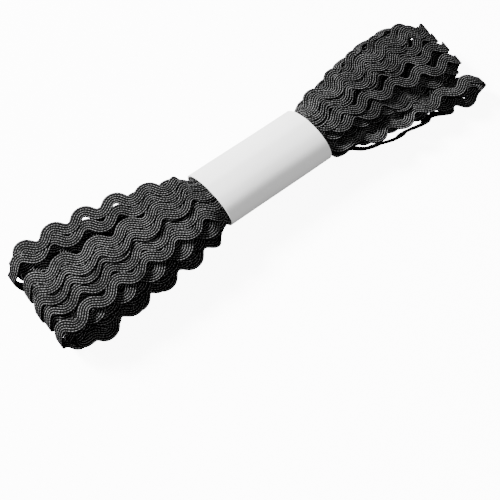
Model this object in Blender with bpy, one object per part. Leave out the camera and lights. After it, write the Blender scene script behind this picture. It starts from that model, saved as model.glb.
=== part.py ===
"""Hank of ric rac trim held by a paper band. Units: millimetres, turned into metres as meshes are made.

The hank runs along X. The design frame has the middle of the band at X = Y = 0 and the
surface that the hank lies on at Z = 0. Back is +Y, front is -Y.
"""

import math

import bmesh
import bpy
from mathutils import Vector

MM = 0.001
BACKWARD = Vector((0.0, 1.0, 0.0))

# The trim itself
TRIM_WIDTH = 4.4
TRIM_THICKNESS = 1.1
WAVE_PITCH = 12.4
WAVE_SWING = 1.85

# The paper band
BAND_LENGTH = 46.5
BAND_WIDTH = 24.8
BAND_HEIGHT = 16.8
BAND_CENTRE_Z = 11.0
PAPER = 0.6
PAPER_GAP = 0.3
BAND_SKEW = -0.08
BAND_SIDES = 48
LAP_STEP = 0.4
LAP_FIRST_SIDE = 37
LAP_SIDES = 4

# The wound body: strands side by side on top, layers down its sides, rings for each wave
COLUMNS = 6
COLUMN_EDGES = (0.06, 0.94)
SIDE_LAYERS = 4
LAYER_EDGES = (0.35, 0.95)
WAVE_STEPS = 7

# How far a strand's front edge stands over the next strand, and a layer over the one below
SHINGLE_RISE = 1.5
FOOT_SHINGLE_SHARE = 0.4
LAYER_STEP = 1.0

# How far the strands swell out where they turn over at the ends, and less so at the corners
END_BULGE = 4.5
END_EDGE_SWELL = 0.35
END_CORNER_SWELL = 0.35
END_CORNER_POINTS = 2

# What comes this near to the surface is pressed flat on it
FOOT_Z = 0.0
FOOT_CUT = 0.35

# One row for each section of the wound body, from its left end to its right end
SECTIONS = [
    dict(x=-91.0, back=16.6, front=-11.5, top_back=14.5, top_front=12.5, foot=0.0, square=3.4),
    dict(x=-86.0, back=17.6, front=-13.0, top_back=16.8, top_front=15.6, foot=0.0, square=3.2),
    dict(x=-76.0, back=17.4, front=-13.6, top_back=18.0, top_front=17.4, foot=0.0, square=3.0),
    dict(x=-62.0, back=16.4, front=-13.2, top_back=18.6, top_front=18.2, foot=0.2, square=2.8),
    dict(x=-48.0, back=15.0, front=-12.9, top_back=18.8, top_front=18.4, foot=1.0, square=2.6),
    dict(x=-36.0, back=13.2, front=-12.6, top_back=19.0, top_front=18.6, foot=2.0, square=2.4),
    dict(x=-29.0, back=11.9, front=-11.9, top_back=18.9, top_front=18.8, foot=2.9, square=2.2),
    dict(x=-24.8, back=11.4, front=-11.4, top_back=18.4, top_front=18.4, foot=3.6, square=2.0),
    dict(x=-23.0, back=11.4, front=-11.4, top_back=18.4, top_front=18.4, foot=3.6, square=2.0),
    dict(x=23.0, back=11.4, front=-11.4, top_back=18.4, top_front=18.4, foot=3.6, square=2.0),
    dict(x=24.8, back=11.4, front=-11.4, top_back=18.4, top_front=18.4, foot=3.6, square=2.0),
    dict(x=29.0, back=11.7, front=-11.8, top_back=18.9, top_front=18.0, foot=2.9, square=2.2),
    dict(x=36.0, back=12.6, front=-12.2, top_back=19.2, top_front=17.4, foot=2.0, square=2.5),
    dict(x=48.0, back=15.0, front=-13.6, top_back=19.0, top_front=15.6, foot=1.0, square=2.8),
    dict(x=62.0, back=17.0, front=-15.0, top_back=18.2, top_front=13.8, foot=0.2, square=3.0),
    dict(x=76.0, back=18.0, front=-16.4, top_back=17.0, top_front=12.8, foot=0.0, square=3.2),
    dict(x=84.0, back=17.6, front=-16.8, top_back=15.6, top_front=11.8, foot=0.0, square=3.4),
    dict(x=88.5, back=15.8, front=-15.4, top_back=13.2, top_front=10.0, foot=0.0, square=3.6),
]
# Where a strand's wave crosses its middle line going back, at the back and the front column
WAVE_START = dict(left_back=-57.6, left_front=-58.4, right_back=53.6, right_front=58.0)
WAVE_FADE_FROM = 24.8
WAVE_FADE_TO = 32.0

# Turns that stand away from the wound body, one row for each point of their routes.
# Turn is the angle in degrees that the strand leans about the way that it runs.
BACK_TURN_LEFT = [
    dict(x=-27.5, y=6.0, z=13.5, turn=-8),
    dict(x=-38.0, y=11.4, z=18.6, turn=-6),
    dict(x=-49.0, y=14.8, z=19.0, turn=-2),
    dict(x=-61.0, y=17.0, z=18.8, turn=0),
    dict(x=-73.0, y=18.8, z=18.4, turn=2),
    dict(x=-85.0, y=19.2, z=17.4, turn=4),
    dict(x=-92.6, y=18.8, z=14.8, turn=0),
    dict(x=-95.6, y=18.6, z=9.6, turn=0),
    dict(x=-92.4, y=18.4, z=3.6, turn=0),
    dict(x=-84.0, y=17.8, z=1.0, turn=0),
    dict(x=-66.0, y=14.8, z=1.0, turn=0),
    dict(x=-48.0, y=10.6, z=1.9, turn=0),
    dict(x=-36.0, y=7.4, z=4.6, turn=0),
    dict(x=-28.0, y=5.0, z=8.0, turn=0),
]
FRONT_TURN_LEFT = [
    dict(x=-28.0, y=-5.0, z=8.0, turn=0),
    dict(x=-36.0, y=-7.6, z=4.8, turn=0),
    dict(x=-48.0, y=-10.6, z=2.2, turn=0),
    dict(x=-62.0, y=-12.0, z=1.0, turn=0),
    dict(x=-74.0, y=-13.9, z=0.9, turn=0),
    dict(x=-82.0, y=-15.2, z=0.9, turn=0),
    dict(x=-87.6, y=-14.6, z=2.4, turn=-14),
    dict(x=-89.6, y=-12.6, z=6.4, turn=-24),
    dict(x=-87.0, y=-10.6, z=10.6, turn=-16),
    dict(x=-76.0, y=-8.0, z=12.0, turn=0),
]
FRONT_TURN_RIGHT = [
    dict(x=28.0, y=-6.0, z=11.0, turn=-4),
    dict(x=35.0, y=-10.4, z=11.2, turn=-6),
    dict(x=45.0, y=-14.8, z=10.6, turn=-6),
    dict(x=59.0, y=-17.2, z=9.9, turn=-6),
    dict(x=72.0, y=-18.6, z=10.0, turn=-6),
    dict(x=84.0, y=-20.2, z=10.4, turn=-4),
    dict(x=91.4, y=-21.0, z=9.6, turn=0),
    dict(x=94.6, y=-21.4, z=6.0, turn=0),
    dict(x=91.4, y=-21.6, z=2.0, turn=0),
    dict(x=83.0, y=-21.2, z=0.9, turn=4),
    dict(x=72.0, y=-19.8, z=2.2, turn=34),
    dict(x=60.0, y=-18.8, z=3.8, turn=62),
    dict(x=49.0, y=-17.6, z=4.0, turn=66),
    dict(x=38.0, y=-12.6, z=4.6, turn=50),
    dict(x=28.0, y=-6.0, z=8.0, turn=10),
]
BACK_TURN_RIGHT = [
    dict(x=28.0, y=6.0, z=12.0, turn=-20),
    dict(x=36.0, y=11.6, z=13.0, turn=-60),
    dict(x=44.0, y=15.0, z=13.4, turn=-68),
    dict(x=54.0, y=17.6, z=13.4, turn=-66),
    dict(x=68.0, y=19.4, z=13.0, turn=-62),
    dict(x=78.0, y=19.4, z=12.2, turn=-50),
    dict(x=85.6, y=17.8, z=10.4, turn=-30),
    dict(x=88.2, y=16.4, z=6.6, turn=-12),
    dict(x=85.4, y=16.2, z=2.4, turn=0),
    dict(x=76.0, y=15.6, z=1.0, turn=0),
    dict(x=60.0, y=13.6, z=1.0, turn=0),
    dict(x=46.0, y=10.6, z=2.2, turn=0),
    dict(x=36.0, y=7.6, z=4.8, turn=0),
    dict(x=28.0, y=5.0, z=8.0, turn=0),
]
LOOSE_TURNS = (
    (BACK_TURN_LEFT, "back_turn_left", 4.6),
    (FRONT_TURN_LEFT, "front_turn_left", 0.0),
    (FRONT_TURN_RIGHT, "front_turn_right", 3.0),
    (BACK_TURN_RIGHT, "back_turn_right", 6.0),
)
ROUTE_STEPS_PER_WAVE = 6
CURVE_STEPS = 20

MATERIALS = {
    "black_trim": dict(colour=(0.018, 0.018, 0.019, 1.0), roughness=0.62),
    "white_paper": dict(colour=(0.86, 0.86, 0.85, 1.0), roughness=0.55),
}


def clear_scene():
    for old in list(bpy.data.objects):
        bpy.data.objects.remove(old)


def make_material(name):
    """A Principled BSDF with the part's colour and roughness."""
    sizes = MATERIALS[name]
    material = bpy.data.materials.new(name)
    material.use_nodes = True
    shader = material.node_tree.nodes["Principled BSDF"]
    shader.inputs["Base Color"].default_value = sizes["colour"]
    shader.inputs["Roughness"].default_value = sizes["roughness"]
    shader.inputs["Metallic"].default_value = 0.0
    return material


def smoothstep(low, high, value):
    share = min(1.0, max(0.0, (value - low) / (high - low)))
    return share * share * (3.0 - 2.0 * share)


def hermite(first, second, slope_in, slope_out, share):
    """A point on the smooth curve from first to second with the given slopes."""
    square, cube = share * share, share ** 3
    return (
        (2 * cube - 3 * square + 1) * first
        + (cube - 2 * square + share) * slope_in
        + (3 * square - 2 * cube) * second
        + (cube - square) * slope_out
    )


def smooth_value(rows, key, place, name):
    """The named column's value at a place, on a smooth curve through the rows."""
    count = len(rows)
    index = 0
    while index < count - 2 and place > rows[index + 1][key]:
        index += 1
    first, second = rows[index], rows[index + 1]
    before, after = rows[max(index - 1, 0)], rows[min(index + 2, count - 1)]
    span = second[key] - first[key]
    share = min(1.0, max(0.0, (place - first[key]) / span))
    slope_in = (second[name] - before[name]) / (second[key] - before[key]) * span
    slope_out = (after[name] - first[name]) / (after[key] - first[key]) * span
    return hermite(first[name], second[name], slope_in, slope_out, share)


def section_at(x):
    return {name: smooth_value(SECTIONS, "x", x, name) for name in SECTIONS[0] if name != "x"}


def wave_at(x, across):
    """Sideways shift of a strand at x. Across is 0 at the back column and 1 at the front one."""
    side = "left" if x < 0 else "right"
    start = WAVE_START[side + "_back"] * (1 - across) + WAVE_START[side + "_front"] * across
    fade = smoothstep(WAVE_FADE_FROM, WAVE_FADE_TO, abs(x))
    return fade * WAVE_SWING * math.sin(2 * math.pi * (x - start) / WAVE_PITCH)


def shingle_lift(share):
    """Height of a strand's face over its neighbour, from its back edge at 0 to its front at 1."""
    return SHINGLE_RISE * (share - 0.5)


def body_stations():
    """X of each ring: fine along the waves, coarse under the band."""
    step = WAVE_PITCH / WAVE_STEPS
    left_end, right_end = SECTIONS[0]["x"], SECTIONS[-1]["x"]
    left_count = math.ceil((-WAVE_FADE_FROM - left_end) / step)
    right_count = math.ceil((right_end - WAVE_FADE_FROM) / step)
    left_run = -WAVE_FADE_FROM - left_end
    right_run = right_end - WAVE_FADE_FROM
    left = [left_end + left_run * i / left_count for i in range(left_count + 1)]
    right = [WAVE_FADE_FROM + right_run * i / right_count for i in range(right_count + 1)]
    return left + right


def across_shares():
    """Where the top and bottom faces have points: each column's back edge and front edge."""
    return [(edge, (column + edge) / COLUMNS) for column in range(COLUMNS) for edge in COLUMN_EDGES]


def down_shares():
    """Where the sides have points, from the top down: each layer's outer and inner edge."""
    outer, inner = LAYER_EDGES
    shares = []
    for layer in range(SIDE_LAYERS):
        shares.append((1.0, (layer + outer) / SIDE_LAYERS))
        shares.append((-1.0, (layer + inner) / SIDE_LAYERS))
    return shares[:-1]


def body_point(x, across, down, lift, step_out):
    """A point of the wound body's skin. Across runs back to front and down runs top to foot."""
    size = section_at(x)
    fade = smoothstep(WAVE_FADE_FROM, WAVE_FADE_TO, abs(x))
    half = (size["back"] - size["front"]) / 2
    middle = (size["back"] + size["front"]) / 2
    top = size["top_back"] * (1 - across) + size["top_front"] * across
    tall = (top - size["foot"]) / 2
    sideways, upright = 1 - 2 * across, 1 - 2 * down
    power = size["square"]
    reach = (abs(sideways) ** power + abs(upright) ** power) ** (1 / power)
    scale = 1.0 / max(reach, 1e-6)
    edge_y = half * sideways * scale
    edge_z = tall * upright * scale
    y = middle + edge_y + wave_at(x, across) + fade * step_out * (1 if sideways > 0 else -1)
    z = (top + size["foot"]) / 2 + edge_z + fade * lift
    return Vector((x, y, z))


def ring_points(x):
    """One ring round the body: top from back to front, front side down, foot, back side up."""
    across, down = across_shares(), down_shares()
    points = []
    for local, share in across:
        points.append(body_point(x, share, 0.0, shingle_lift(local), 0.0))
    for out, share in down:
        points.append(body_point(x, 1.0, share, 0.0, out * LAYER_STEP / 2))
    for local, share in reversed(across):
        points.append(body_point(x, share, 1.0, shingle_lift(local) * FOOT_SHINGLE_SHARE, 0.0))
    for out, share in reversed(down):
        points.append(body_point(x, 0.0, share, 0.0, out * LAYER_STEP / 2))
    return points


def flat_foot(point):
    """Presses what comes near the surface flat on it."""
    if point.z < FOOT_CUT:
        point.z = FOOT_Z
    return point


def end_cap(mesh, ring, outward):
    """Closes an end as the strands do: each column turns over from the top face to the foot."""
    across, down = across_shares(), down_shares()
    wide, tall = len(across), len(down)
    top = ring[:wide]
    front = ring[wide : wide + tall]
    foot = ring[wide + tall : 2 * wide + tall][::-1]
    back = ring[2 * wide + tall :][::-1]
    grid = [top]
    for row in range(tall):
        share = down[row][1]
        swell = END_BULGE * math.sqrt(1 - (2 * share - 1) ** 2)
        line = []
        for col in range(1, wide - 1):
            place = top[col].co.lerp(foot[col].co, share)
            from_corner = min(1.0, min(col, wide - 1 - col) / END_CORNER_POINTS)
            rise = swell * (1 + END_EDGE_SWELL * (across[col][0] - 0.5))
            rise *= END_CORNER_SWELL + (1 - END_CORNER_SWELL) * from_corner
            place.x += outward * rise * MM
            line.append(mesh.verts.new(place))
        grid.append([back[row]] + line + [front[row]])
    grid.append(foot)
    for upper, lower in zip(grid, grid[1:]):
        for col in range(wide - 1):
            mesh.faces.new((upper[col], lower[col], lower[col + 1], upper[col + 1]))


def wound_body():
    """The closed body of the wound hank, with its strands as wavy ridges."""
    mesh = bmesh.new()
    rings = []
    for x in body_stations():
        ring = [mesh.verts.new(flat_foot(point) * MM) for point in ring_points(x)]
        rings.append(ring)
    for one, two in zip(rings, rings[1:]):
        count = len(one)
        for i in range(count):
            j = (i + 1) % count
            mesh.faces.new((one[i], two[i], two[j], one[j]))
    end_cap(mesh, rings[0], -1.0)
    end_cap(mesh, rings[-1], 1.0)
    return finish_mesh(mesh, "hank")


def finish_mesh(mesh, name):
    bmesh.ops.triangulate(mesh, faces=mesh.faces[:])
    bmesh.ops.recalc_face_normals(mesh, faces=mesh.faces[:])
    data = bpy.data.meshes.new(name)
    mesh.to_mesh(data)
    mesh.free()
    item = bpy.data.objects.new(name, data)
    bpy.context.scene.collection.objects.link(item)
    return item


def route_points(rows):
    """Evenly spaced points on a smooth curve through a route, with the strand's turn at each."""
    places = [Vector((row["x"], row["y"], row["z"])) for row in rows]
    turns = [row["turn"] for row in rows]
    dense = []
    for i in range(len(rows) - 1):
        before, after = places[max(i - 1, 0)], places[min(i + 2, len(rows) - 1)]
        first, second = places[i], places[i + 1]
        for step in range(CURVE_STEPS):
            share = step / CURVE_STEPS
            place = hermite(first, second, (second - before) / 2, (after - first) / 2, share)
            dense.append((place, turns[i] * (1 - share) + turns[i + 1] * share))
    dense.append((places[-1], turns[-1]))
    lengths = [0.0]
    for (one, _), (two, _) in zip(dense, dense[1:]):
        lengths.append(lengths[-1] + (two - one).length)
    count = round(lengths[-1] / WAVE_PITCH * ROUTE_STEPS_PER_WAVE)
    even, index = [], 0
    for step in range(count + 1):
        wanted = lengths[-1] * step / count
        while index < len(dense) - 2 and lengths[index + 1] < wanted:
            index += 1
        share = (wanted - lengths[index]) / (lengths[index + 1] - lengths[index])
        place = dense[index][0].lerp(dense[index + 1][0], share)
        turn = dense[index][1] * (1 - share) + dense[index + 1][1] * share
        even.append((wanted, place, turn))
    return even


def trim_turn(rows, name, wave_start):
    """One strand of trim along a route, as a closed wavy ribbon of its real width."""
    even = route_points(rows)
    mesh = bmesh.new()
    rings = []
    for index, (run, place, turn) in enumerate(even):
        before, after = even[max(index - 1, 0)][1], even[min(index + 1, len(even) - 1)][1]
        along = (after - before).normalized()
        level = BACKWARD
        level = (level - level.dot(along) * along).normalized()
        upright = level.cross(along)
        lean = math.radians(turn)
        side = level * math.cos(lean) - upright * math.sin(lean)
        normal = side.cross(along).normalized()
        angle = 2 * math.pi * (run - wave_start) / WAVE_PITCH
        slope = WAVE_SWING * 2 * math.pi / WAVE_PITCH * math.cos(angle)
        half = TRIM_WIDTH / 2 * math.sqrt(1 + slope * slope)
        middle = place + side * WAVE_SWING * math.sin(angle)
        corners = []
        for across, up in ((half, 0.5), (-half, 0.5), (-half, -0.5), (half, -0.5)):
            corners.append(middle + side * across + normal * up * TRIM_THICKNESS)
        rings.append([mesh.verts.new(flat_foot(corner) * MM) for corner in corners])
    for one, two in zip(rings, rings[1:]):
        for i in range(4):
            j = (i + 1) % 4
            mesh.faces.new((one[i], two[i], two[j], one[j]))
    mesh.faces.new(rings[0][::-1])
    mesh.faces.new(rings[-1])
    return finish_mesh(mesh, name)


def stand_on_origin(items):
    """Moves every mesh so that the whole part's box stands on the origin by its middle."""
    corners = [vertex.co for item in items for vertex in item.data.vertices]
    middle_x = (min(c.x for c in corners) + max(c.x for c in corners)) / 2
    middle_y = (min(c.y for c in corners) + max(c.y for c in corners)) / 2
    lowest = min(c.z for c in corners)
    for item in items:
        for vertex in item.data.vertices:
            vertex.co -= Vector((middle_x, middle_y, lowest))


def join_turn(body, turn):
    """Makes a turn one with the body that both its ends run into."""
    union = body.modifiers.new(turn.name, "BOOLEAN")
    union.operation = "UNION"
    union.solver = "EXACT"
    union.object = turn
    turn.hide_render = True
    turn.display_type = "WIRE"


def paper_band():
    """The paper sleeve: an oval tube with a lapped seam underneath."""
    mesh = bmesh.new()
    loops = {}
    for inside in (True, False):
        inset = PAPER if inside else 0.0
        for end in (-1, 1):
            ring = []
            for i in range(BAND_SIDES):
                angle = 2 * math.pi * i / BAND_SIDES
                lapped = not inside and LAP_FIRST_SIDE <= i < LAP_FIRST_SIDE + LAP_SIDES
                step = LAP_STEP if lapped else 0.0
                y = (BAND_WIDTH / 2 - inset + step) * math.cos(angle)
                z = BAND_CENTRE_Z + (BAND_HEIGHT / 2 - inset + step) * math.sin(angle)
                x = end * BAND_LENGTH / 2 + BAND_SKEW * y
                ring.append(mesh.verts.new(Vector((x, y, z)) * MM))
            loops[inside, end] = ring
    walls = (
        (loops[False, -1], loops[False, 1]),
        (loops[False, 1], loops[True, 1]),
        (loops[True, 1], loops[True, -1]),
        (loops[True, -1], loops[False, -1]),
    )
    for one, two in walls:
        for i in range(BAND_SIDES):
            j = (i + 1) % BAND_SIDES
            mesh.faces.new((one[i], two[i], two[j], one[j]))
    return finish_mesh(mesh, "paper_band")


def main():
    clear_scene()
    hank = wound_body()
    hank.data.materials.append(make_material("black_trim"))
    band = paper_band()
    band.data.materials.append(make_material("white_paper"))
    loose = [trim_turn(rows, name, wave_start) for rows, name, wave_start in LOOSE_TURNS]
    stand_on_origin([hank, band] + loose)
    for turn in loose:
        join_turn(hank, turn)


main()
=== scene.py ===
"""Looks of a hank of black ric rac trim held by a white paper band.

Sizes are in millimetres in the hank's own layout: X runs along the hank, +Y is its back,
Z is up from the surface, and the middle of the band is at X = Y = 0.
"""

import math
import random

import bpy
import numpy as np
from mathutils import Matrix, Vector


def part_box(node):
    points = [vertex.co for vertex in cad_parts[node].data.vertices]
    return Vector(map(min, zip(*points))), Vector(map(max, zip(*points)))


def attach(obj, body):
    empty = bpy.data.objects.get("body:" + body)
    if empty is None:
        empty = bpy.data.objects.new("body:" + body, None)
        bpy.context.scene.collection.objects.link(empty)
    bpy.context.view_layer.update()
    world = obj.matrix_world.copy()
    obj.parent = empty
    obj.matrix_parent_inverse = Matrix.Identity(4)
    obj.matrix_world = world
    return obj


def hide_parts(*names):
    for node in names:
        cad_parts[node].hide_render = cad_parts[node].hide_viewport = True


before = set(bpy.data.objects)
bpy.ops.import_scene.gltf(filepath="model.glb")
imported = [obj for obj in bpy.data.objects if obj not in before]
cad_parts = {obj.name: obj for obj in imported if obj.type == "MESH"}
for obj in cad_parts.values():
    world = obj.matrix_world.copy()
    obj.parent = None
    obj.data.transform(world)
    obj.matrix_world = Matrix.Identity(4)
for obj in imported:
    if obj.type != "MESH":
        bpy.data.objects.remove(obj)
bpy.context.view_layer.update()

MM = 0.001
band_low, band_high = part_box("paper_band")
LAYOUT_ORIGIN = np.array([(band_low.x + band_high.x) / 2, (band_low.y + band_high.y) / 2, 0.0]) / MM

# The trim: its section with the ribs on it, and its wave
TRIM_WIDTH = 4.4
TRIM_CORE = 0.38
RIBS = 5
RIB_RISE = 0.26
RIB_POWER = 0.8
EDGE_THICKNESS = 0.22
EDGE_POWER = 0.5
BODY_THICKNESS = TRIM_CORE + 2 * RIB_RISE
WAVE_PITCH = 12.4
WAVE_SWING = 1.85
WAVE_SQUARENESS = 0.04
# How far the trim's section turns with its wave: 0 keeps it across the strand, 1 across the wave
CROSS_TURN = 0.5

# The trim's colours: painted shade in the grooves between its ribs, the black yarn, and a painted
# highlight on the yarn that stands up most, lighter where it is worn
GROOVE_PAINTED_SHADE = (0.0004, 0.0004, 0.0004, 1.0)
BLACK_YARN = (0.004, 0.004, 0.0041, 1.0)
PAINTED_HIGHLIGHT_AND_WEAR = (0.23, 0.23, 0.231, 1.0)
YARN_LEVEL = 0.5

# The trim's stitches: their length, slant and bump, and how they shape the painted highlight along each
# rib's crest.
# UV_LENGTH is how much trim one unit of its UV map spans. The noises' scales are for a metre.
UV_LENGTH = 10.0
STITCH_PITCH = 0.8
STITCH_SLANT = 0.3
STITCH_DEPTH = 0.3
RIB_BUMP = 0.24
CROWN_POWER = 1.3
HIGHLIGHT_POWER = 6.0
HIGHLIGHT_STITCH = 0.5
FUZZ_SCALE = 700.0
FUZZ_SHARE = 0.7
PATCH_SCALE = 110.0
PATCH_SHARE = 0.5
WORN_LIFT = 0.3
TRIM_ROUGHNESS = 0.7
WORN_SMOOTHER = 0.4
TRIM_SPECULAR = 0.03

# The paper band: a sleeve with a lap underneath, angles in degrees from the back over the top
BAND_LENGTH = 46.5
BAND_WIDTH = 24.8
BAND_HEIGHT = 16.8
BAND_Z = 11.0
BAND_SKEW = -0.08
PAPER = 0.5
SLEEVE_SIDES = 160
SLEEVE_ROWS = 44
SLEEVE_SHARP = 40.0
LAP_FROM = 258.0
LAP_TO = 284.0
LAP_RISE = 0.35
LAP_RAMP = 0.03
# The strands press the paper out in a few broad swells, placed and sized at random
SWELLS = 7
SWELL_PLACES = (0.2, 2.9)
SWELL_SHARPNESS = (2.0, 5.0)
SWELL_RISES = (0.03, 0.09)
RIPPLE_RISE = 0.05
RIPPLES = 3
RIPPLE_TWIST = 5.0

# The paper: two whites that its grain runs between
PAPER_DIM = (0.79, 0.79, 0.785, 1.0)
PAPER_BRIGHT = (0.85, 0.85, 0.845, 1.0)
PAPER_SHADES = (0.3, 0.7)
CLOUD_SCALE = 60.0
CLOUD_SHARE = 0.6
FIBRE_SCALE = 1800.0
FIBRE_SHARE = 0.4
PAPER_ROUGHNESS = 0.5
FIBRE_ROUGHNESS = 0.12
PAPER_SPECULAR = 0.35
PAPER_BUMP = 0.08
PAPER_BUMP_STRENGTH = 0.25

# Floor, lights and camera. The lights and the floor's reach are in metres, the camera's place
# in millimetres, its angles in degrees.
FLOOR_REACH = 3.0
FLOOR_COLOUR = (0.93, 0.93, 0.93, 1.0)
FLOOR_ROUGHNESS = 0.9
FLOOR_GLOW = 9.0
WHITE = (1.0, 1.0, 1.0, 1.0)
WORLD_LIGHT = 0.3
LIT_POINT = (0.0, 0.0, 0.01)
KEY_PLACE = (-0.84, 1.36, 1.2)
KEY_SIZE = 0.5
KEY_POWER = 232.0
FILL_PLACE = (-0.3, -0.8, 0.9)
FILL_SIZE = 0.6
FILL_POWER = 7.0
CAMERA_PLACE = (-94.5, -116.7, 261.0)
CAMERA_YAW = -37.58
CAMERA_DOWN = 65.08
CAMERA_CLIP = 0.01
FOCAL_PIXELS = 780.0
PICTURE_PIXELS = 500.0
SENSOR = 36.0

# The room that the strands have under the band, and each layer's oval inside it. Strands at the
# oval's sides would lean without end, so LEAST_SINE holds them back.
WAIST_HALF_Y = 10.3
WAIST_HALF_Z = 6.6
WAIST_LAYER_STEP = 1.5
WAIST_STATIONS = (0.0, 7.0, 14.0, 21.0)
LEAST_SINE = 0.3
# Where the strands leave that oval, out along X: in height, in plan and in how far they swing
WAIST_END = 21.5
WAIST_OPEN = 31.0
PLAN_OPENS_FROM = 16.0
PLAN_OPENS_TO = 27.0
SWING_OPENS_FROM = 19.5
SWING_OPENS_TO = 26.0
WAIST_SWING = 0.6
# How far from the band's middle a turn's two halves bend their waves to meet there
JOIN_REACH = 20.0

# The ends, where the strands turn over: how far the bend reaches in X, less for each layer
# within, half its height, and how much of the wave is lost in the bend
END_DEPTH = 7.6
END_DEPTH_STEP = 1.2
END_HALF_HEIGHT = 9.0
ARC_POWER = 0.82
ARC_POINTS = 241
BEND_CALM = 0.7
# The same for the half turns that go their own way, as distances in from their outermost point
BEND_REACH = 8.0
CALM_FROM = 9.0
CALM_TO = 1.0

# The wound body: layers from the top down and from the surface up
LAYER_GAP = 2.45
SIDE_X = (24.0, 28.0, 36.0, 48.0, 60.0, 72.0, 84.0, 96.0)
TOP_LEFT_Z = (18.2, 18.8, 19.2, 19.0, 18.8, 18.4, 17.9, 17.4)
TOP_LEFT_LEAN = (0.0, 0.01, 0.02, 0.03, 0.03, 0.03, 0.03, 0.03)
TOP_RIGHT_Z = (18.2, 18.5, 18.3, 17.2, 16.0, 14.9, 13.9, 13.4)
TOP_RIGHT_LEAN = (0.0, 0.03, 0.08, 0.15, 0.2, 0.2, 0.18, 0.16)
FOOT_Z = (3.8, 3.0, 2.0, 1.0, 0.2, 0.0, 0.0, 0.0)
SIDE_STEP = 0.5
SIDE_REACH = 110.0
SIDE_SMOOTHING = 7.0

# How a strand is laid on what lies below it: the slopes that it may take, towards the back,
# the slope that it would like, how much it minds another, and how much of it sinks in
STEEPEST = 0.7
SLOPE_CHOICES = 29
POINTS_ACROSS = 9
UNDER_SLOPE = 0.12
TOP_SLOPE = -0.12
STIFFNESS = 2.0
SLOPE_SMOOTHING = 5.0
HEIGHT_REACH = 2
HEIGHT_SMOOTHING = 3.0
SHINGLE_SQUASH = 0.25
SHINGLE_MOST = 1.5
TOP_SINK = 1.6

# One row for each turn. Layer 0 is the outermost. Angle is its place round the waist, from
# the back at 0 over the top to the front at 180. Left and right hold its Y at each SIDE_X.
# A wave is where the strand's wave first crosses its middle going back, and its pitch.
# Reach is how far out the turn's end stands, at the left and at the right. A drop is how far
# the strand lies below the body's top, as one value or one for each SIDE_X.
TURNS = [
    dict(name="back_loose", layer=0, angle=22, reach=(94.0, 88.5),
         left=(8.0, 8.6, 11.0, 15.2, 18.0, 19.5, 20.2, 20.2), left_wave=(-67.0, 11.7),
         right=(9.6, 9.4, 11.8, 15.8, 18.0, 19.2, 18.2, 16.6), right_wave=(38.0, 12.4)),
    dict(name="back_top", layer=0, angle=44, reach=(96.0, 91.6),
         left=(6.6, 6.8, 8.0, 10.6, 12.4, 15.0, 17.2, 17.2), left_wave=(-69.0, 12.3),
         right=(6.0, 6.0, 6.0, 7.4, 9.8, 11.2, 10.6, 9.8), right_wave=(30.4, 12.4)),
    dict(name="top_2", layer=0, angle=64, reach=(95.0, 93.8),
         left=(4.6, 4.6, 4.7, 4.9, 5.4, 6.9, 8.5, 9.0), left_wave=(-69.8, 12.5),
         right=(3.6, 3.6, 3.4, 3.4, 5.2, 8.4, 9.6, 9.0), right_wave=(30.6, 12.1)),
    dict(name="top_3", layer=0, angle=82, reach=(94.4, 94.6),
         left=(0.5, 0.5, 0.5, 0.6, 1.2, 2.9, 4.3, 5.0), left_wave=(-70.8, 12.6),
         right=(1.6, 1.8, 2.4, 3.0, 3.6, 4.6, 5.4, 5.2), right_wave=(30.4, 13.2)),
    dict(name="top_4", layer=0, angle=98, reach=(95.4, 95.4), left_drop=0.3,
         left=(0.3, 0.3, 0.3, 0.2, 0.0, -0.2, 0.2, 0.8), left_wave=(-71.2, 12.6),
         right=(0.2, 0.6, 1.4, 2.2, 2.4, 1.3, -0.3, -0.8), right_wave=(30.6, 13.2)),
    dict(name="top_5", layer=0, angle=116, reach=(95.0, 95.8), left_drop=0.7,
         left=(-3.6, -3.6, -3.8, -4.2, -4.6, -4.7, -4.4, -3.4), left_wave=(-70.6, 12.5),
         right=(-2.6, -2.9, -3.3, -3.4, -3.9, -5.0, -7.0, -8.2), right_wave=(33.2, 13.1)),
    dict(name="top_6", layer=0, angle=138, reach=(95.2, 94.6), left_drop=0.7,
         left=(-7.4, -7.6, -8.0, -8.7, -9.3, -9.9, -11.6, -11.6), left_wave=(-71.3, 12.4),
         right=(-4.6, -5.2, -6.6, -7.6, -8.8, -12.0, -15.6, -16.4), right_wave=(36.6, 13.1),
         right_drop=(0.0, 0.0, 0.2, 0.6, 1.4, 3.6, 5.6, 5.6)),
    dict(name="front_open", layer=0, angle=163, reach=(92.0, 95.6), left_drop=2.4,
         left=(-10.0, -10.4, -11.2, -11.9, -12.4, -12.6, -12.0, -10.6), left_wave=(-65.4, 12.3),
         right=(-8.4, -10.2, -14.0, -15.8, -16.8, -17.6, -18.8, -20.2), right_wave=(33.7, 13.1)),
    dict(name="second_1", layer=1, angle=30, reach=(92.6, 89.6)),
    dict(name="second_2", layer=1, angle=52, reach=(92.0, 91.0)),
    dict(name="second_3", layer=1, angle=74, reach=(92.6, 92.0)),
    dict(name="second_4", layer=1, angle=96, reach=(92.2, 92.8)),
    dict(name="second_5", layer=1, angle=120, reach=(93.6, 92.6)),
    dict(name="second_6", layer=1, angle=142, reach=(92.4, 89.4)),
    dict(name="third_1", layer=2, angle=34, reach=(90.0, 88.0)),
    dict(name="third_2", layer=2, angle=62, reach=(90.0, 89.4)),
    dict(name="third_3", layer=2, angle=90, reach=(90.0, 90.4)),
    dict(name="third_4", layer=2, angle=118, reach=(90.0, 90.6)),
    dict(name="third_5", layer=2, angle=148, reach=(92.6, 91.0)),
    dict(name="inner_1", layer=3, angle=40, reach=(87.0, 84.0)),
    dict(name="inner_2", layer=3, angle=76, reach=(87.0, 84.4)),
    dict(name="inner_3", layer=3, angle=108, reach=(87.0, 84.4)),
    dict(name="inner_4", layer=3, angle=142, reach=(87.6, 83.0)),
]
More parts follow.
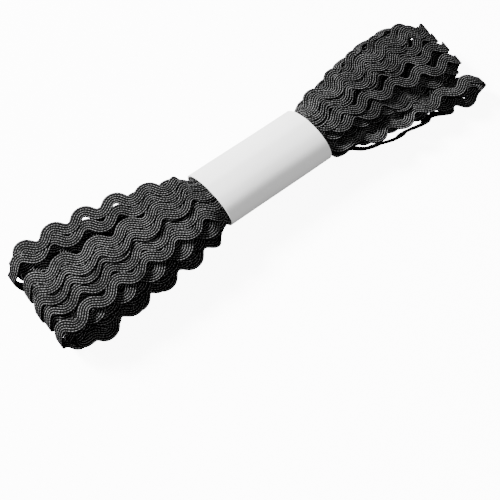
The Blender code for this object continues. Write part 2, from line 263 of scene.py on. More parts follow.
# The wound body's back and front faces, which the turns with no Y of their own spread between,
# with a little chance in their places, pitches and waves
BODY_BACK_LEFT = (9.4, 10.0, 12.0, 15.0, 17.0, 18.2, 18.6, 18.2)
BODY_FRONT_LEFT = (-8.8, -9.6, -10.8, -11.8, -12.4, -12.6, -12.2, -11.4)
BODY_BACK_RIGHT = (8.6, 9.2, 10.8, 13.6, 15.4, 16.2, 15.4, 13.8)
BODY_FRONT_RIGHT = (-8.8, -10.0, -12.2, -14.2, -15.4, -16.2, -16.6, -16.0)
SPREAD_START = 0.2
SPREAD_LESS = 0.6
PLACE_CHANCE = 0.5
PITCH_CHANCE = 0.03
WAVE_ANCHOR = 60.0

# Half turns that go their own way, from the waist over the top to the end and back below.
# Each row is a point of the middle line: X, Y, Z, and the lean there in degrees.
FRONT_OPEN_RIGHT = [
    (30.0, -10.6, 11.8, -4), (36.0, -13.2, 11.4, -6), (45.0, -15.6, 10.6, -6), (59.0, -16.7, 9.9, -6),
    (72.0, -17.4, 10.0, -6), (84.0, -18.2, 10.4, -4), (92.6, -19.8, 9.8, 0), (96.6, -20.8, 6.0, 0),
    (93.6, -21.2, 2.2, -6), (87.0, -20.8, 1.2, -6), (80.0, -20.2, 1.8, 18), (72.0, -19.6, 2.8, 44),
    (63.0, -19.3, 3.4, 54), (56.4, -18.7, 3.6, 56), (48.0, -17.6, 3.8, 54), (41.0, -15.1, 4.2, 48),
    (34.0, -11.8, 5.0, 30), (27.0, -8.2, 6.4, 6),
]
BACK_LOOSE_RIGHT = [
    (28.0, 9.2, 13.8, -34), (36.0, 11.2, 13.8, -38), (44.0, 13.8, 13.8, -42), (54.0, 16.4, 13.8, -42),
    (68.0, 18.4, 13.4, -42), (78.0, 18.4, 12.6, -38), (85.6, 17.2, 10.6, -24), (88.2, 16.2, 6.6, -10),
    (85.4, 16.0, 2.4, 0), (76.0, 15.4, 1.0, 0), (60.0, 13.6, 1.0, 0), (46.0, 10.6, 2.2, 0),
    (36.0, 8.6, 4.0, 0), (28.0, 8.2, 6.6, 0),
]
FRONT_DROOP_LEFT = [
    (-28.0, -6.4, 14.6, 0), (-40.0, -7.6, 14.4, 0), (-54.0, -7.8, 13.8, 0), (-66.0, -7.8, 13.0, 0),
    (-76.0, -8.0, 12.0, 0), (-87.0, -10.6, 10.6, -16), (-89.6, -12.6, 6.4, -24), (-87.6, -14.6, 2.4, -14),
    (-82.0, -15.2, 1.0, 0), (-74.0, -13.9, 1.0, 0), (-62.0, -12.0, 1.1, 0), (-48.0, -10.6, 2.3, 0),
    (-36.0, -8.6, 4.4, 0), (-28.0, -7.2, 6.6, 0),
]
FRONT_INNER_RIGHT = [
    (28.0, -6.6, 13.0, -8), (44.0, -8.6, 12.0, -10), (60.0, -10.8, 10.4, -10), (72.0, -15.0, 8.4, -10),
    (84.0, -18.0, 6.8, -12), (91.6, -18.6, 5.8, 0), (94.4, -18.8, 4.2, 0), (91.0, -18.8, 2.8, 0),
    (80.0, -17.6, 2.4, 0), (66.0, -13.6, 2.2, 0), (50.0, -10.2, 2.6, 0), (38.0, -8.6, 4.2, 0),
    (28.0, -7.8, 6.4, 0),
]
OWN_PATHS = dict(front_open_right=FRONT_OPEN_RIGHT, back_loose_right=BACK_LOOSE_RIGHT,
                 second_6_left=FRONT_DROOP_LEFT, second_6_right=FRONT_INNER_RIGHT)

# How finely the trim is made: points across each rib for each layer, and steps along each wave
RIB_POINTS = ((0.0, 0.3, 0.7), (0.0, 0.5), (0.0, 0.5), (0.0, 0.5))
LAYERS = len(RIB_POINTS)
STEPS_PER_WAVE = 20
COARSE_STEPS_PER_WAVE = 12
COARSE_FROM_LAYER = 2
# Points between two given ones of a smooth curve, and how a finished route is smoothed
CURVE_SHARES = 24
LINE_SMOOTHING = 1.5
LINE_PAD = 8
SEED = 11


def smoothstep(low, high, value):
    """0 up to low, 1 from high on, and a smooth rise between."""
    share = np.clip((np.asarray(value, float) - low) / (high - low), 0.0, 1.0)
    return share * share * (3.0 - 2.0 * share)


def smoothed(values, steps):
    """The values with their neighbours mixed in, as a bell curve of the given steps."""
    reach = max(1, int(3 * steps))
    offsets = np.arange(-reach, reach + 1)
    weights = np.exp(-0.5 * (offsets / steps) ** 2)
    padded = np.pad(values, reach, mode="edge")
    return np.convolve(padded, weights / weights.sum(), mode="valid")


def highest_near(values, steps):
    """Each value raised to the highest one within the given steps."""
    padded = np.pad(values, steps, mode="edge")
    windows = np.lib.stride_tricks.sliding_window_view(padded, 2 * steps + 1)
    return windows.max(axis=1)


def wave(phase):
    """A trim's wave: a little squarer than a sine, with round crests and straight flanks."""
    return np.sin(phase) + WAVE_SQUARENESS * np.sin(3 * phase)


def along_side(values, out):
    """A smooth value at a distance out from the band's middle, from one given at SIDE_X."""
    fine = np.arange(0.0, SIDE_REACH, SIDE_STEP)
    line = smoothed(np.interp(fine, SIDE_X, values), SIDE_SMOOTHING)
    return np.interp(out, fine, line)


class Pile:
    """Heights of what lies on the surface so far, on a grid seen from above."""

    CELL = 0.5
    LOW_X = -104.0
    LOW_Y = -36.0
    COUNT_X = 420
    COUNT_Y = 140

    def __init__(self):
        self.height = np.zeros((self.COUNT_X, self.COUNT_Y))

    def cells(self, x, y):
        """Column and row of the cells at the given places, the nearest ones off the grid."""
        column = ((x - self.LOW_X) / self.CELL).astype(int)
        row = ((y - self.LOW_Y) / self.CELL).astype(int)
        return np.clip(column, 0, self.COUNT_X - 1), np.clip(row, 0, self.COUNT_Y - 1)

    def at(self, x, y):
        return self.height[self.cells(x, y)]

    def add(self, x, y, z):
        np.maximum.at(self.height, self.cells(x, y), z)


def top_surface(x, y):
    """Height of the wound body's top, out beyond the waist."""
    out = np.abs(x)
    left = along_side(TOP_LEFT_Z, out) + along_side(TOP_LEFT_LEAN, out) * y
    right = along_side(TOP_RIGHT_Z, out) + along_side(TOP_RIGHT_LEAN, out) * y
    return np.where(x < 0, left, right)


ACROSS = np.linspace(-TRIM_WIDTH / 2, TRIM_WIDTH / 2, POINTS_ACROSS)
SLOPES = np.linspace(-STEEPEST, STEEPEST, SLOPE_CHOICES)


def lay(pile, x, y, cross_x, cross_y, wanted):
    """Lays a stretch of trim on the pile. Returns its heights and its slopes towards the back."""
    points_x = x[:, None] + cross_x[:, None] * ACROSS
    points_y = y[:, None] + cross_y[:, None] * ACROSS
    need = pile.at(points_x, points_y)
    heights = (need[:, None, :] - SLOPES[None, :, None] * ACROSS[None, None, :]).max(axis=2)
    cost = heights + STIFFNESS * (SLOPES[None, :] - wanted) ** 2
    slope = smoothed(SLOPES[cost.argmin(axis=1)], SLOPE_SMOOTHING)
    height = (need - slope[:, None] * ACROSS).max(axis=1)
    height = smoothed(highest_near(height, HEIGHT_REACH), HEIGHT_SMOOTHING)
    height = np.minimum(height, SHINGLE_MOST * BODY_THICKNESS)
    upper_face = height[:, None] + slope[:, None] * ACROSS + SHINGLE_SQUASH * BODY_THICKNESS
    pile.add(points_x, points_y, upper_face)
    return height + BODY_THICKNESS / 2, slope


def swing_at(out):
    """How far the wave swings: less inside the band, where the strands are pressed together."""
    free = smoothstep(SWING_OPENS_FROM, SWING_OPENS_TO, out)
    return WAVE_SWING * (WAIST_SWING + (1 - WAIST_SWING) * free)


def even_curve(points, step):
    """Points of a smooth curve through the given rows, the same length apart."""
    rows = np.array(points, float)
    padded = np.concatenate([rows[:1], rows, rows[-1:]])
    shares = np.arange(CURVE_SHARES)[:, None] / CURVE_SHARES
    dense = []
    for before, first, second, after in zip(padded, padded[1:], padded[2:], padded[3:]):
        slope_in, slope_out = (second - before) / 2, (after - first) / 2
        square, cube = shares ** 2, shares ** 3
        dense.append(
            (2 * cube - 3 * square + 1) * first + (cube - 2 * square + shares) * slope_in
            + (3 * square - 2 * cube) * second + (cube - square) * slope_out
        )
    dense = np.concatenate(dense + [rows[-1:]])
    return evened(dense, step)


def evened(dense, step):
    """The rows of a curve taken again at even lengths along it."""
    lengths = np.linalg.norm(np.diff(dense[:, :3], axis=0), axis=1)
    run = np.concatenate([[0.0], np.cumsum(lengths)])
    count = max(2, int(round(run[-1] / step)))
    wanted = np.linspace(0.0, run[-1], count + 1)
    return np.stack([np.interp(wanted, run, dense[:, i]) for i in range(dense.shape[1])], axis=1)


class Half:
    """One half of a turn, from the band's middle out over the top, round, and back below.

    Its points lie at the distances out from the band's middle, up to the edge of its bend. Each
    has its place x, y, with a strand above and one below it there.
    """

    def __init__(self, turn, side, step):
        self.turn, self.side, self.step = turn, side, step
        name = "left" if side < 0 else "right"
        self.path = OWN_PATHS.get(turn["name"] + "_" + name)
        self.reach = turn["reach"][0 if side < 0 else 1]
        layer = turn["layer"]
        self.depth = END_DEPTH - END_DEPTH_STEP * layer
        self.edge = self.reach - self.depth
        self.out = np.arange(0.0, self.edge + step / 2, step)
        self.wave = turn[name + "_wave"]
        drops = np.broadcast_to(turn.get(name + "_drop", 0.0), len(SIDE_X))
        self.drop = along_side(drops, self.out)
        self.x = side * self.out
        angle = math.radians(turn["angle"])
        half_y = WAIST_HALF_Y - WAIST_LAYER_STEP * layer
        half_z = WAIST_HALF_Z - WAIST_LAYER_STEP * layer
        self.waist_y = half_y * math.cos(angle)
        self.waist_z = half_z * math.sin(angle)
        self.waist_slope = -half_z / half_y * math.cos(angle) / max(math.sin(angle), LEAST_SINE)
        self.opened = smoothstep(WAIST_END, WAIST_OPEN, self.out)
        self.swing = swing_at(self.out)
        open_y = along_side(turn[name], self.out)
        share = smoothstep(PLAN_OPENS_FROM, PLAN_OPENS_TO, self.out)
        self.y = self.waist_y * (1 - share) + open_y * share
        first, pitch = self.wave
        self.top_phase = 2 * math.pi * (self.x - first) / pitch

    def plan(self, phase):
        """The strand's middle line in plan with its wave, and which way is across it."""
        sway = self.swing * wave(phase)
        slope = np.gradient(sway, self.x)
        turn = np.arctan(slope) * CROSS_TURN
        return self.x, self.y + sway, -np.sin(turn), np.cos(turn)


def spread_turns():
    """Gives the turns that have no Y of their own a place between the body's faces."""
    rng = random.Random(SEED)
    for layer in range(1, LAYERS):
        rows = [turn for turn in TURNS if turn["layer"] == layer and "left" not in turn]
        for index, turn in enumerate(rows):
            share = (index + SPREAD_START) / (len(rows) - SPREAD_LESS)
            for name, side, back, front in (
                ("left", -1, BODY_BACK_LEFT, BODY_FRONT_LEFT),
                ("right", 1, BODY_BACK_RIGHT, BODY_FRONT_RIGHT),
            ):
                shift = rng.uniform(-PLACE_CHANCE, PLACE_CHANCE)
                turn[name] = [b + (f - b) * share + shift for b, f in zip(back, front)]
                pitch = WAVE_PITCH * rng.uniform(1 - PITCH_CHANCE, 1 + PITCH_CHANCE)
                turn[name + "_wave"] = (side * WAVE_ANCHOR + rng.uniform(0.0, WAVE_PITCH), pitch)


def build_halves():
    """Two halves of each turn, the left one first."""
    halves = []
    for turn in TURNS:
        steps = COARSE_STEPS_PER_WAVE if turn["layer"] >= COARSE_FROM_LAYER else STEPS_PER_WAVE
        step = WAVE_PITCH / steps
        for side in (-1, 1):
            halves.append(Half(turn, side, step))
    return halves


def lay_undersides(halves):
    """The lower strands of each layer overlap like shingles, laid from back to front."""
    for layer in range(LAYERS):
        pile = Pile()
        rows = [half for half in halves if half.turn["layer"] == layer and not half.path]
        rows.sort(key=lambda half: half.turn["angle"])
        for half in rows:
            # the wave below is carried on round the end from the one above
            turn_length = math.pi * (half.depth + END_HALF_HEIGHT - LAYER_GAP * layer) / 2
            pitch = half.wave[1]
            end_phase = half.top_phase[-1] + half.side * 2 * math.pi * turn_length / pitch
            half.low_phase = end_phase + half.side * 2 * math.pi * (half.edge - half.out) / pitch
            rise, half.low_slope = lay(pile, *half.plan(half.low_phase), UNDER_SLOPE)
            half.low_z = along_side(FOOT_Z, half.out) + LAYER_GAP * layer + rise


def lay_tops(halves):
    """The upper strands of each layer overlap too, laid from front to back."""
    for layer in range(LAYERS):
        pile = Pile()
        rows = [half for half in halves if half.turn["layer"] == layer and not half.path]
        rows.sort(key=lambda half: -half.turn["angle"])
        for half in rows:
            rise, slope = lay(pile, *half.plan(half.top_phase), TOP_SLOPE)
            lean = along_side(TOP_LEFT_LEAN if half.side < 0 else TOP_RIGHT_LEAN, half.out)
            surface = top_surface(half.x, half.y) - LAYER_GAP * layer
            half.top_z = surface - half.drop - TOP_SINK * BODY_THICKNESS + rise
            half.top_slope = slope + lean


def own_route(half):
    """Middle line, lean and wave of a half turn that goes its own way."""
    lean = math.degrees(math.atan(half.waist_slope))
    inside = [(half.side * out, half.waist_y) for out in WAIST_STATIONS]
    above = [(x, y, BAND_Z + half.waist_z, lean) for x, y in inside]
    below = [(x, y, BAND_Z - half.waist_z, lean) for x, y in inside[::-1]]
    line = even_curve(above + half.path + below, half.step)
    out = np.abs(line[:, 0])
    first, pitch = half.wave
    lengths = np.linalg.norm(np.diff(line[:, :3], axis=0), axis=1)
    run = np.concatenate([[0.0], np.cumsum(lengths)])
    # up to the bend the wave goes by X, and from there by the length of the line
    furthest = out.max()
    turns_at = int(np.argmax(out > furthest - BEND_REACH))
    phase = 2 * math.pi * (line[:, 0] - first) / pitch
    beyond = half.side * 2 * math.pi * (run - run[turns_at]) / WAVE_PITCH
    phase = np.where(np.arange(len(line)) < turns_at, phase, phase[turns_at] + beyond)
    calm = BEND_CALM * smoothstep(furthest - CALM_FROM, furthest - CALM_TO, out)
    return dict(
        x=line[:, 0], y=line[:, 1], z=line[:, 2], roll=np.radians(line[:, 3]),
        phase=phase, swing=swing_at(out) * (1 - calm),
    )


def half_route(half):
    """Middle line, lean and wave of one half turn: over the top, round the end, back below."""
    if half.path:
        return own_route(half)
    opened = half.opened
    top_z = (BAND_Z + half.waist_z) * (1 - opened) + half.top_z * opened
    low_z = (BAND_Z - half.waist_z) * (1 - opened) + half.low_z * opened
    top_roll = np.arctan(half.waist_slope * (1 - opened) + half.top_slope * opened)
    low_roll = np.arctan(half.waist_slope * (1 - opened) - half.low_slope * opened)
    middle_z, half_tall = (top_z[-1] + low_z[-1]) / 2, (top_z[-1] - low_z[-1]) / 2
    angle = np.linspace(0.0, math.pi, ARC_POINTS)
    arc_x = half.side * (half.out[-1] + half.depth * np.abs(np.sin(angle)) ** ARC_POWER)
    arc_y = np.full(ARC_POINTS, half.y[-1])
    arc_z = middle_z + half_tall * np.sign(np.cos(angle)) * np.abs(np.cos(angle)) ** ARC_POWER
    arc = evened(np.stack([arc_x, arc_y, arc_z], axis=1), half.step)
    share = np.linspace(0.0, 1.0, len(arc))[1:-1]
    eased = smoothstep(0.0, 1.0, share)
    arc = arc[1:-1]
    arc_roll = top_roll[-1] * (1 - eased) + low_roll[-1] * eased
    arc_phase = half.top_phase[-1] + (half.low_phase[-1] - half.top_phase[-1]) * share
    arc_swing = WAVE_SWING * (1 - BEND_CALM * np.sin(math.pi * share) ** 2)
    return dict(
        x=np.concatenate([half.x, arc[:, 0], half.x[::-1]]),
        y=np.concatenate([half.y, arc[:, 1], half.y[::-1]]),
        z=np.concatenate([top_z, arc[:, 2], low_z[::-1]]),
        roll=np.concatenate([top_roll, arc_roll, low_roll[::-1]]),
        phase=np.concatenate([half.top_phase, arc_phase, half.low_phase[::-1]]),
        swing=np.concatenate([half.swing, arc_swing, half.swing[::-1]]),
    )


def close_gap(route, other, at_start):
    """Shifts the wave inside the band so that two half turns meet without a step."""
    index = 0 if at_start else -1
    gap = (other["phase"][index] - route["phase"][index] + math.pi) % (2 * math.pi) - math.pi
    near = 1 - smoothstep(0.0, JOIN_REACH, np.abs(route["x"]))
    size = len(route["x"])
    first_half = np.arange(size) < size / 2
    mask = first_half if at_start else ~first_half
    return gap / 2 * near * mask


def whole_route(left, right):
    """The closed route of one turn, from its two halves."""
    one, two = half_route(left), half_route(right)
    shifts = []
    for route, other in ((one, two), (two, one)):
        shifts.append(close_gap(route, other, True) + close_gap(route, other, False))
    one["phase"] = one["phase"] + shifts[0]
    two["phase"] = two["phase"] + shifts[1]
    joined = {}
    for key in one:
        joined[key] = np.concatenate([one[key][:-1], two[key][::-1][:-1]])
    joined["sway"] = joined["swing"] * wave(joined["phase"])
    return joined


def round_differences(values):
    """How the rows of a closed line change from one to the next."""
    return (np.roll(values, -1, axis=0) - np.roll(values, 1, axis=0)) / 2


def ribbon_frame(route):
    """The middle line, its run, and the directions across and out of the trim's face."""
    centre = np.stack([route["x"], route["y"], route["z"]], axis=1)
    padded = np.concatenate([centre[-LINE_PAD:], centre, centre[:LINE_PAD]])
    for axis in range(3):
        padded[:, axis] = smoothed(padded[:, axis], LINE_SMOOTHING)
    centre = padded[LINE_PAD:-LINE_PAD]
    step = round_differences(centre)
    length = np.linalg.norm(step, axis=1)
    along = step / length[:, None]
    back = np.array([0.0, 1.0, 0.0])
    level = back - (along @ back)[:, None] * along
    level /= np.linalg.norm(level, axis=1)[:, None]
    outward = np.cross(level, along)
    roll = route["roll"][:, None]
    side = level * np.cos(roll) + outward * np.sin(roll)
    normal = np.cross(side, along)
    gaps = np.linalg.norm(np.roll(centre, -1, axis=0) - centre, axis=1)
    run = np.concatenate([[0.0], np.cumsum(gaps)])
    slope = np.arctan(round_differences(route["sway"]) / length)
    return centre, side, normal, slope, run


def around(run, values, places):
    """Values of a closed line, given at its run, at other places along it."""
    total = run[-1]
    return np.stack([np.interp(places, run[:-1], values[:, i], period=total) for i in range(3)], axis=1)


def trim_profile(rib_points):
    """Ring of (across, out, share) points of the trim's section, with ribs on both faces."""
    shares = [(rib + point) / RIBS for rib in range(RIBS) for point in rib_points] + [1.0]
    upper = []
    for share in shares:
        rib = math.sin(math.pi * (share * RIBS % 1.0)) ** RIB_POWER
        rim = min(1.0, min(share, 1 - share) * RIBS) ** EDGE_POWER
        core = EDGE_THICKNESS + (TRIM_CORE - EDGE_THICKNESS) * rim
        upper.append((2 * share - 1, core / 2 + RIB_RISE * rib, share))
    lower = [(across, -out, share) for across, out, share in reversed(upper)]
    return upper + lower


def linked_object(name, data):
    """A new object with the given data, linked to the scene."""
    made = bpy.data.objects.new(name, data)
    bpy.context.scene.collection.objects.link(made)
    return made


def trim_mesh(name, route, rib_points):
    """The trim of one turn: its flat wavy form, wrapped on the surface that its route runs in."""
    centre, side, normal, slope, run = ribbon_frame(route)
    profile = trim_profile(rib_points)
    ring = len(profile)
    count = len(centre)
    turn = slope * CROSS_TURN
    half = TRIM_WIDTH / 2 / np.cos(slope - turn)
    places = np.empty((count, ring, 3))
    for index, (sideways, out, _) in enumerate(profile):
        place = run[:-1] - half * sideways * np.sin(turn)
        across = (route["sway"] + half * sideways * np.cos(turn))[:, None]
        on_line, to_side, to_out = (around(run, values, place) for values in (centre, side, normal))
        places[:, index] = on_line + to_side * across + to_out * out
    places = (places.reshape(-1, 3) + LAYOUT_ORIGIN) * MM
    station = np.arange(count)
    nxt = (station + 1) % count
    faces = []
    uvs = []
    shares = [share for _, _, share in profile]
    starts = run[:-1] / UV_LENGTH
    ends = run[1:] / UV_LENGTH
    for i in range(ring):
        j = (i + 1) % ring
        quad = np.stack([station * ring + i, station * ring + j, nxt * ring + j, nxt * ring + i], axis=1)
        faces.append(quad)
        uv = np.empty((count, 4, 2))
        corners = ((shares[i], starts), (shares[j], starts), (shares[j], ends), (shares[i], ends))
        for corner, (share, lengths) in enumerate(corners):
            uv[:, corner, 0] = share
            uv[:, corner, 1] = lengths
        uvs.append(uv)
    faces = np.concatenate(faces)
    uvs = np.concatenate(uvs).reshape(-1, 2)
    mesh = bpy.data.meshes.new(name)
    mesh.from_pydata(places.tolist(), [], faces.tolist())
    layer = mesh.uv_layers.new(name="along_trim")
    layer.data.foreach_set("uv", uvs.ravel())
    mesh.shade_smooth()
    mesh.update()
    return linked_object(name, mesh)


class Nodes:
    """Short way to add and link a material's nodes."""

    def __init__(self, name):
        self.material = bpy.data.materials.new(name)
        self.material.use_nodes = True
        self.tree = self.material.node_tree
        self.shader = self.tree.nodes["Principled BSDF"]

    def add(self, kind, settings=None, **inputs):
        """A new node, with its settings and its inputs."""
        node = self.tree.nodes.new(kind)
        for key, value in (settings or {}).items():
            setattr(node, key, value)
        for key, value in inputs.items():
            self.feed(node, key, value)
        return node

    def feed(self, node, key, value):
        """Links or sets an input. Its key is its name with _ for a space, or n and its number."""
        name = int(key[1:]) if key[0] == "n" and key[1:].isdigit() else key.replace("_", " ")
        socket = node.inputs[name]
        if isinstance(value, bpy.types.NodeSocket):
            self.tree.links.new(value, socket)
        else:
            socket.default_value = value

    def math(self, operation, first, second=0.0, clamp=False):
        """The result of one operation on one or two values."""
        settings = dict(operation=operation, use_clamp=clamp)
        return self.add("ShaderNodeMath", settings, n0=first, n1=second).outputs[0]

    def mixed(self, first, first_share, second, second_share):
        """The sum of two values, each times its share."""
        parts = [self.math("MULTIPLY", first, first_share), self.math("MULTIPLY", second, second_share)]
        return self.math("ADD", *parts)

    def noise(self, place, scale, detail):
        """A cloudy value from 0 to 1."""
        node = self.add("ShaderNodeTexNoise", n0=place, Scale=scale, Detail=detail)
        return node.outputs[0]

    def eased(self, value, share):
        """A value from 0 to 1 brought into the given share of that range below 1."""
        return self.math("ADD", self.math("MULTIPLY", value, share), 1 - share)

    def ramp(self, factor, stops):
        """A colour between the given stops."""
        node = self.add("ShaderNodeValToRGB", n0=factor)
        band = node.color_ramp
        while len(band.elements) < len(stops):
            band.elements.new(0.5)
        for element, (place, colour) in zip(band.elements, stops):
            element.position = place
            element.color = colour
        return node.outputs[0]


def trim_material():
    """Black braided polyester: ribs of fine stitches, with painted shade in the grooves between them and
    a painted highlight along their crests.
    """
    n = Nodes("black_ric_rac")
    uv = n.add("ShaderNodeUVMap", dict(uv_map="along_trim"))
    parts = n.add("ShaderNodeSeparateXYZ", n0=uv.outputs[0])
    ribs = n.math("MULTIPLY", parts.outputs[0], float(RIBS))
    rib_share = n.math("FRACT", ribs)
    rib_index = n.math("SUBTRACT", ribs, rib_share)
    crest = n.math("SINE", n.math("MULTIPLY", rib_share, math.pi))
    # each rib is a row of slanted stitches, and every second rib slants the other way
    run = n.math("MULTIPLY", parts.outputs[1], UV_LENGTH / STITCH_PITCH)
    handed = n.math("SUBTRACT", n.math("MULTIPLY", n.math("MODULO", rib_index, 2.0), 2.0), 1.0)
    slant = n.math("MULTIPLY", n.math("MULTIPLY", rib_share, handed), STITCH_SLANT)
    turns = n.math("MULTIPLY", n.math("ADD", run, slant), math.pi)
    stitch = n.math("ABSOLUTE", n.math("SINE", turns))
    crown = n.math("POWER", crest, CROWN_POWER)
    height = n.math("MULTIPLY", crown, n.eased(stitch, STITCH_DEPTH))
    place = n.add("ShaderNodeTexCoord").outputs["Object"]
    fuzz = n.noise(place, FUZZ_SCALE, detail=3.0)
    patch = n.noise(place, PATCH_SCALE, detail=2.0)
    # a painted highlight along each rib's crest makes it the lightest, and more so where it is worn
    worn = n.math("ADD", n.mixed(fuzz, FUZZ_SHARE, patch, PATCH_SHARE), WORN_LIFT)
    crest_highlight = n.math("MULTIPLY", n.math("POWER", crest, HIGHLIGHT_POWER), n.eased(stitch, HIGHLIGHT_STITCH))
    level = n.math("MULTIPLY", crest_highlight, worn, clamp=True)
    # the colour runs from painted shade in the grooves through the yarn's black to the painted highlight
    # on the crests
    colour = n.ramp(level, [(0.0, GROOVE_PAINTED_SHADE), (YARN_LEVEL, BLACK_YARN), (1.0, PAINTED_HIGHLIGHT_AND_WEAR)])
    n.feed(n.shader, "Base_Color", colour)
    smoother = n.math("MULTIPLY", level, WORN_SMOOTHER)
    n.feed(n.shader, "Roughness", n.math("SUBTRACT", TRIM_ROUGHNESS, smoother))
    n.shader.inputs["Specular IOR Level"].default_value = TRIM_SPECULAR
    # the bump runs against the ribs' own relief and softens how they catch the light
    softer = dict(invert=True)
    bump = n.add("ShaderNodeBump", softer, Strength=1.0, Distance=RIB_BUMP * MM, Height=height)
    n.feed(n.shader, "Normal", bump.outputs[0])
    return n.material


def paper_material():
    """White uncoated paper with a faint fibre grain."""
    n = Nodes("white_paper")
    place = n.add("ShaderNodeTexCoord").outputs["Object"]
    cloud = n.noise(place, CLOUD_SCALE, detail=4.0)
    fibre = n.noise(place, FIBRE_SCALE, detail=3.0)
    shade = n.mixed(cloud, CLOUD_SHARE, fibre, FIBRE_SHARE)
    colour = n.ramp(shade, list(zip(PAPER_SHADES, (PAPER_DIM, PAPER_BRIGHT))))
    n.feed(n.shader, "Base_Color", colour)
    rougher = n.math("MULTIPLY", fibre, FIBRE_ROUGHNESS)
    n.feed(n.shader, "Roughness", n.math("ADD", PAPER_ROUGHNESS, rougher))
    n.shader.inputs["Specular IOR Level"].default_value = PAPER_SPECULAR
    bump = n.add("ShaderNodeBump", Strength=PAPER_BUMP_STRENGTH, Distance=PAPER_BUMP * MM, Height=shade)
    n.feed(n.shader, "Normal", bump.outputs[0])
    return n.material


def floor_material():
    """A white studio floor with a light of its own, so that it keeps pale under the hank."""
    n = Nodes("pale_floor")
    n.shader.inputs["Base Color"].default_value = FLOOR_COLOUR
    n.shader.inputs["Roughness"].default_value = FLOOR_ROUGHNESS
    n.shader.inputs["Specular IOR Level"].default_value = 0.0
    n.shader.inputs["Emission Color"].default_value = WHITE
    n.shader.inputs["Emission Strength"].default_value = FLOOR_GLOW
    return n.material


def sleeve_ring(share, inset, lap_rise, swells):
    """Points round the paper at a share of its length, on its outside or inset from it."""
    lap_from, lap_to = math.radians(LAP_FROM), math.radians(LAP_TO)
    run = (share - 0.5) * BAND_LENGTH
    ring = []
    for side in range(SLEEVE_SIDES):
        angle = 2 * math.pi * side / SLEEVE_SIDES
        swell = RIPPLE_RISE * math.sin(RIPPLES * angle + share * RIPPLE_TWIST)
        for place, sharpness, rise in swells:
            swell += rise * math.exp(-((angle - place) * sharpness * 2) ** 2)
        lap = lap_rise * smoothstep(lap_from, lap_from + LAP_RAMP, angle) * (angle < lap_to)
        y = (BAND_WIDTH / 2 - inset + swell + lap) * math.cos(angle)
        z = BAND_Z + (BAND_HEIGHT / 2 - inset + swell + lap) * math.sin(angle)
        ring.append((run + BAND_SKEW * y, y, z))
    return ring


def paper_band():
    """The sleeve: a thin oval tube that the strands press out a little, lapped underneath."""
    rng = random.Random(SEED)
    swells = [
        (rng.uniform(*SWELL_PLACES), rng.uniform(*SWELL_SHARPNESS), rng.uniform(*SWELL_RISES))
        for _ in range(SWELLS)
    ]
    rings = []
    for inset, lap_rise in ((0.0, LAP_RISE), (PAPER, 0.0)):
        for row in range(SLEEVE_ROWS + 1):
            rings.append(sleeve_ring(row / SLEEVE_ROWS, inset, lap_rise, swells))
    places = (np.array(rings).reshape(-1, 3) + LAYOUT_ORIGIN) * MM
    faces = []
    inner = (SLEEVE_ROWS + 1) * SLEEVE_SIDES
    last = SLEEVE_ROWS * SLEEVE_SIDES
    for j in range(SLEEVE_SIDES):
        k = (j + 1) % SLEEVE_SIDES
        for row in range(0, last, SLEEVE_SIDES):
            after = row + SLEEVE_SIDES
            faces.append((row + j, row + k, after + k, after + j))
            faces.append((inner + row + k, inner + row + j, inner + after + j, inner + after + k))
        faces.append((j, inner + j, inner + k, k))
        faces.append((last + k, inner + last + k, inner + last + j, last + j))
    mesh = bpy.data.meshes.new("paper_sleeve")
    mesh.from_pydata(places.tolist(), [], faces)
    mesh.shade_smooth()
    mesh.set_sharp_from_angle(angle=math.radians(SLEEVE_SHARP))
    mesh.update()
    return linked_object("paper_sleeve", mesh)


def area_light(name, place, size, power):
    """A square lamp that points at the hank."""
    data = bpy.data.lights.new(name, "AREA")
    data.shape = "SQUARE"
    data.size = size
    data.energy = power
    light = linked_object(name, data)
    light.location = place
    light.rotation_euler = (Vector(LIT_POINT) - Vector(place)).to_track_quat("-Z", "Y").to_euler()


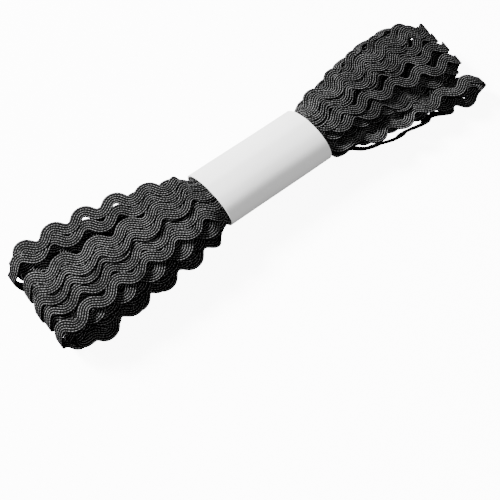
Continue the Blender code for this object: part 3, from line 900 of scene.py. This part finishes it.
def stage_and_lights():
    """The floor, the world's even light, a key light behind at the left and a weak fill in front."""
    floor_mesh = bpy.data.meshes.new("floor")
    corners = [
        (-FLOOR_REACH, -FLOOR_REACH, 0), (FLOOR_REACH, -FLOOR_REACH, 0),
        (FLOOR_REACH, FLOOR_REACH, 0), (-FLOOR_REACH, FLOOR_REACH, 0),
    ]
    floor_mesh.from_pydata(corners, [], [(0, 1, 2, 3)])
    floor_mesh.materials.append(floor_material())
    floor = linked_object("floor", floor_mesh)
    floor.visible_diffuse = False
    floor.visible_glossy = False
    world = bpy.data.worlds.new("studio")
    bpy.context.scene.world = world
    world.use_nodes = True
    background = world.node_tree.nodes["Background"]
    background.inputs["Color"].default_value = WHITE
    background.inputs["Strength"].default_value = WORLD_LIGHT
    area_light("key", KEY_PLACE, KEY_SIZE, KEY_POWER)
    area_light("fill", FILL_PLACE, FILL_SIZE, FILL_POWER)


def camera():
    """The photograph's view: place, heading, angle down and focal length."""
    data = bpy.data.cameras.new("photo_view")
    data.sensor_width = SENSOR
    data.lens = FOCAL_PIXELS / PICTURE_PIXELS * SENSOR
    data.clip_start = CAMERA_CLIP
    yaw, down = math.radians(CAMERA_YAW), math.radians(CAMERA_DOWN)
    right = Vector((math.cos(yaw), math.sin(yaw), 0.0))
    ahead = Vector((-math.sin(yaw) * math.cos(down), math.cos(yaw) * math.cos(down), -math.sin(down)))
    up = right.cross(ahead)
    basis = Matrix((right, up, -ahead)).transposed().to_4x4()
    basis.translation = Vector((np.array(CAMERA_PLACE) + LAYOUT_ORIGIN) * MM)
    eye = linked_object("photo_view", data)
    eye.matrix_world = basis
    bpy.context.scene.camera = eye


def main():
    """Stages the view, lays the turns, and puts them and the paper sleeve in the nodes' place."""
    camera()
    stage_and_lights()
    black = trim_material()
    spread_turns()
    halves = build_halves()
    lay_undersides(halves)
    lay_tops(halves)
    for index in range(0, len(halves), 2):
        left, right = halves[index], halves[index + 1]
        rib_points = RIB_POINTS[left.turn["layer"]]
        piece = trim_mesh("turn_" + left.turn["name"], whole_route(left, right), rib_points)
        piece.data.materials.append(black)
        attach(piece, "root")
        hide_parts("hank")
    band = paper_band()
    band.data.materials.append(paper_material())
    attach(band, "root")
    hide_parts("paper_band")


main()
